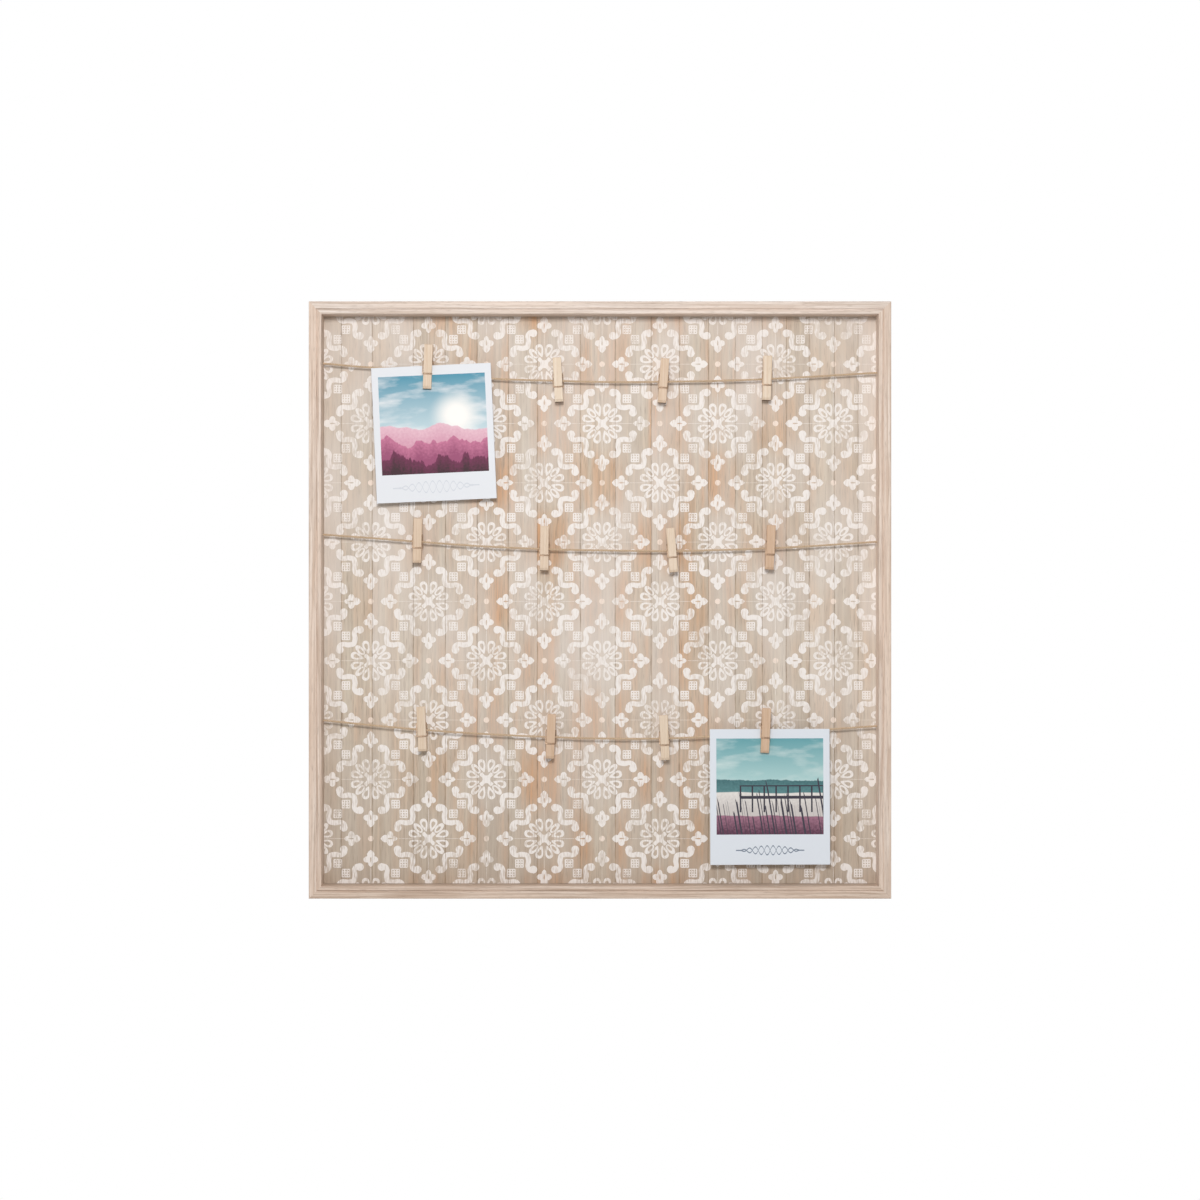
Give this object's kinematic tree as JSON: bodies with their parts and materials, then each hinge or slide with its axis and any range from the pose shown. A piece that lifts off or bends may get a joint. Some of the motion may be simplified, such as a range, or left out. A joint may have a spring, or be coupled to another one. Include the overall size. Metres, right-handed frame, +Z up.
{
  "type": "rope photo display",
  "caption": "Squarish wooden wall frame round a stencilled stave panel, with twine strung across it and spring pegs on the twine that hold photo prints.",
  "frame": {"origin": "middle of the top rail's rear face, where the display bears on the wall it hangs on", "axes": "+Z up, the front with the pegs and prints looks along -Y, +Y points into the wall, +X to the right seen from the front"},
  "size_m": [0.585, 0.026, 0.6],
  "materials": {
    "frame_wood": "pale limed, matt",
    "panel_wood": "whitewashed staves with white stencil paint",
    "peg_wood": "bare, fine sanded",
    "twine": "twisted jute",
    "print_card": "semi-gloss photo card",
    "spring_steel": "drawn wire",
    "zinc_steel": "zinc plated"
  },
  "bodies": {
    "frame": {"top_rail": "frame_wood", "right_rail": "frame_wood", "bottom_rail": "frame_wood", "left_rail": "frame_wood", "back_panel": "panel_wood", "panel_point_1": "zinc_steel", "panel_point_2": "zinc_steel", "panel_point_3": "zinc_steel", "panel_point_4": "zinc_steel", "panel_point_5": "zinc_steel", "panel_point_6": "zinc_steel", "panel_point_7": "zinc_steel", "panel_point_8": "zinc_steel", "hanger_left": "zinc_steel", "hanger_right": "zinc_steel", "hanger_screw_1": "zinc_steel", "hanger_screw_2": "zinc_steel", "hanger_screw_3": "zinc_steel", "hanger_screw_4": "zinc_steel", "cord_top": "twine", "cord_middle": "twine", "cord_bottom": "twine"},
    "peg_top_1": {"peg_top_1_back_half": "peg_wood", "peg_top_1_spring": "spring_steel"},
    "peg_top_1_jaw": {"peg_top_1_front_half": "peg_wood"},
    "peg_top_2": {"peg_top_2_back_half": "peg_wood", "peg_top_2_spring": "spring_steel"},
    "peg_top_2_jaw": {"peg_top_2_front_half": "peg_wood"},
    "peg_top_3": {"peg_top_3_back_half": "peg_wood", "peg_top_3_spring": "spring_steel"},
    "peg_top_3_jaw": {"peg_top_3_front_half": "peg_wood"},
    "peg_top_4": {"peg_top_4_back_half": "peg_wood", "peg_top_4_spring": "spring_steel"},
    "peg_top_4_jaw": {"peg_top_4_front_half": "peg_wood"},
    "peg_middle_1": {"peg_middle_1_back_half": "peg_wood", "peg_middle_1_spring": "spring_steel"},
    "peg_middle_1_jaw": {"peg_middle_1_front_half": "peg_wood"},
    "peg_middle_2": {"peg_middle_2_back_half": "peg_wood", "peg_middle_2_spring": "spring_steel"},
    "peg_middle_2_jaw": {"peg_middle_2_front_half": "peg_wood"},
    "peg_middle_3": {"peg_middle_3_back_half": "peg_wood", "peg_middle_3_spring": "spring_steel"},
    "peg_middle_3_jaw": {"peg_middle_3_front_half": "peg_wood"},
    "peg_middle_4": {"peg_middle_4_back_half": "peg_wood", "peg_middle_4_spring": "spring_steel"},
    "peg_middle_4_jaw": {"peg_middle_4_front_half": "peg_wood"},
    "peg_bottom_1": {"peg_bottom_1_back_half": "peg_wood", "peg_bottom_1_spring": "spring_steel"},
    "peg_bottom_1_jaw": {"peg_bottom_1_front_half": "peg_wood"},
    "peg_bottom_2": {"peg_bottom_2_back_half": "peg_wood", "peg_bottom_2_spring": "spring_steel"},
    "peg_bottom_2_jaw": {"peg_bottom_2_front_half": "peg_wood"},
    "peg_bottom_3": {"peg_bottom_3_back_half": "peg_wood", "peg_bottom_3_spring": "spring_steel"},
    "peg_bottom_3_jaw": {"peg_bottom_3_front_half": "peg_wood"},
    "peg_bottom_4": {"peg_bottom_4_back_half": "peg_wood", "peg_bottom_4_spring": "spring_steel"},
    "peg_bottom_4_jaw": {"peg_bottom_4_front_half": "peg_wood"},
    "print_top": {"photo_print_top": "print_card"},
    "print_bottom": {"photo_print_bottom": "print_card"}
  },
  "joints": [
    {"name": "peg_top_1_slide", "type": "slide", "parent": "frame", "child": "peg_top_1", "axis": [0.9951, 0, -0.0986], "range_m": [-0.008, 0.008]},
    {"name": "peg_top_1_open", "type": "hinge", "parent": "peg_top_1", "child": "peg_top_1_jaw", "pos_m": [-0.17349, -0.0146, -0.0566], "axis": [-0.9994, 0, 0.0349], "range_deg": [0, 12], "stiffness_Nm_per_rad": 0.05, "springref_deg": -20.05, "deforming": ["peg_top_1_spring"]},
    {"name": "peg_top_2_slide", "type": "slide", "parent": "frame", "child": "peg_top_2", "axis": [0.9996, 0, -0.0274], "range_m": [-0.015, 0.015]},
    {"name": "peg_top_2_open", "type": "hinge", "parent": "peg_top_2", "child": "peg_top_2_jaw", "pos_m": [-0.04271, -0.013, -0.06961], "axis": [-0.9986, 0, -0.0523], "range_deg": [0, 12], "stiffness_Nm_per_rad": 0.05, "springref_deg": -20.05, "deforming": ["peg_top_2_spring"]},
    {"name": "peg_top_3_slide", "type": "slide", "parent": "frame", "child": "peg_top_3", "axis": [0.9999, 0, 0.0131], "range_m": [-0.015, 0.015]},
    {"name": "peg_top_3_open", "type": "hinge", "parent": "peg_top_3", "child": "peg_top_3_jaw", "pos_m": [0.06444, -0.013, -0.07052], "axis": [-0.9973, 0, 0.0732], "range_deg": [0, 12], "stiffness_Nm_per_rad": 0.05, "springref_deg": -20.05, "deforming": ["peg_top_3_spring"]},
    {"name": "peg_top_4_slide", "type": "slide", "parent": "frame", "child": "peg_top_4", "axis": [0.999, 0, 0.0447], "range_m": [-0.015, 0.015]},
    {"name": "peg_top_4_open", "type": "hinge", "parent": "peg_top_4", "child": "peg_top_4_jaw", "pos_m": [0.16899, -0.013, -0.0678], "axis": [-0.9995, 0, 0.0314], "range_deg": [0, 12], "stiffness_Nm_per_rad": 0.05, "springref_deg": -20.05, "deforming": ["peg_top_4_spring"]},
    {"name": "peg_middle_1_slide", "type": "slide", "parent": "frame", "child": "peg_middle_1", "axis": [0.9973, 0, -0.0736], "range_m": [-0.015, 0.015]},
    {"name": "peg_middle_1_open", "type": "hinge", "parent": "peg_middle_1", "child": "peg_middle_1_jaw", "pos_m": [-0.18424, -0.013, -0.2322], "axis": [-0.9997, 0, 0.0262], "range_deg": [0, 12], "stiffness_Nm_per_rad": 0.05, "springref_deg": -20.05, "deforming": ["peg_middle_1_spring"]},
    {"name": "peg_middle_2_slide", "type": "slide", "parent": "frame", "child": "peg_middle_2", "axis": [0.9994, 0, -0.0354], "range_m": [-0.015, 0.015]},
    {"name": "peg_middle_2_open", "type": "hinge", "parent": "peg_middle_2", "child": "peg_middle_2_jaw", "pos_m": [-0.05615, -0.013, -0.2397], "axis": [-1, 0, 0.0087], "range_deg": [0, 12], "stiffness_Nm_per_rad": 0.05, "springref_deg": -20.05, "deforming": ["peg_middle_2_spring"]},
    {"name": "peg_middle_3_slide", "type": "slide", "parent": "frame", "child": "peg_middle_3", "axis": [1, 0, 0.0033], "range_m": [-0.015, 0.015]},
    {"name": "peg_middle_3_open", "type": "hinge", "parent": "peg_middle_3", "child": "peg_middle_3_jaw", "pos_m": [0.0723, -0.013, -0.24172], "axis": [-0.9965, 0, -0.0837], "range_deg": [0, 12], "stiffness_Nm_per_rad": 0.05, "springref_deg": -20.05, "deforming": ["peg_middle_3_spring"]},
    {"name": "peg_middle_4_slide", "type": "slide", "parent": "frame", "child": "peg_middle_4", "axis": [0.999, 0, 0.0445], "range_m": [-0.015, 0.015]},
    {"name": "peg_middle_4_open", "type": "hinge", "parent": "peg_middle_4", "child": "peg_middle_4_jaw", "pos_m": [0.1723, -0.013, -0.23891], "axis": [-0.9987, 0, 0.0506], "range_deg": [0, 12], "stiffness_Nm_per_rad": 0.05, "springref_deg": -20.05, "deforming": ["peg_middle_4_spring"]},
    {"name": "peg_bottom_1_slide", "type": "slide", "parent": "frame", "child": "peg_bottom_1", "axis": [0.997, 0, -0.0772], "range_m": [-0.015, 0.015]},
    {"name": "peg_bottom_1_open", "type": "hinge", "parent": "peg_bottom_1", "child": "peg_bottom_1_jaw", "pos_m": [-0.18037, -0.013, -0.42241], "axis": [-0.999, 0, -0.0454], "range_deg": [0, 12], "stiffness_Nm_per_rad": 0.05, "springref_deg": -20.05, "deforming": ["peg_bottom_1_spring"]},
    {"name": "peg_bottom_2_slide", "type": "slide", "parent": "frame", "child": "peg_bottom_2", "axis": [0.9992, 0, -0.0387], "range_m": [-0.015, 0.015]},
    {"name": "peg_bottom_2_open", "type": "hinge", "parent": "peg_bottom_2", "child": "peg_bottom_2_jaw", "pos_m": [-0.04953, -0.013, -0.42981], "axis": [-0.999, 0, 0.0454], "range_deg": [0, 12], "stiffness_Nm_per_rad": 0.05, "springref_deg": -20.05, "deforming": ["peg_bottom_2_spring"]},
    {"name": "peg_bottom_3_slide", "type": "slide", "parent": "frame", "child": "peg_bottom_3", "axis": [0.9998, 0, 0.0189], "range_m": [-0.015, 0.015]},
    {"name": "peg_bottom_3_open", "type": "hinge", "parent": "peg_bottom_3", "child": "peg_bottom_3_jaw", "pos_m": [0.06483, -0.013, -0.43121], "axis": [-0.999, 0, -0.0454], "range_deg": [0, 12], "stiffness_Nm_per_rad": 0.05, "springref_deg": -20.05, "deforming": ["peg_bottom_3_spring"]},
    {"name": "peg_bottom_4_slide", "type": "slide", "parent": "frame", "child": "peg_bottom_4", "axis": [0.9982, 0, 0.0603], "range_m": [-0.008, 0.008]},
    {"name": "peg_bottom_4_open", "type": "hinge", "parent": "peg_bottom_4", "child": "peg_bottom_4_jaw", "pos_m": [0.1674, -0.0146, -0.42381], "axis": [-0.9987, 0, 0.0506], "range_deg": [0, 12], "stiffness_Nm_per_rad": 0.05, "springref_deg": -20.05, "deforming": ["peg_bottom_4_spring"]},
    {"name": "print_top_pull", "type": "slide", "parent": "peg_top_1", "child": "print_top", "axis": [0.0454, 0, -0.999], "range_m": [0, 0.012]},
    {"name": "print_bottom_pull", "type": "slide", "parent": "peg_bottom_4", "child": "print_bottom", "axis": [0.0035, 0, -1], "range_m": [0, 0.012]}
  ]
}
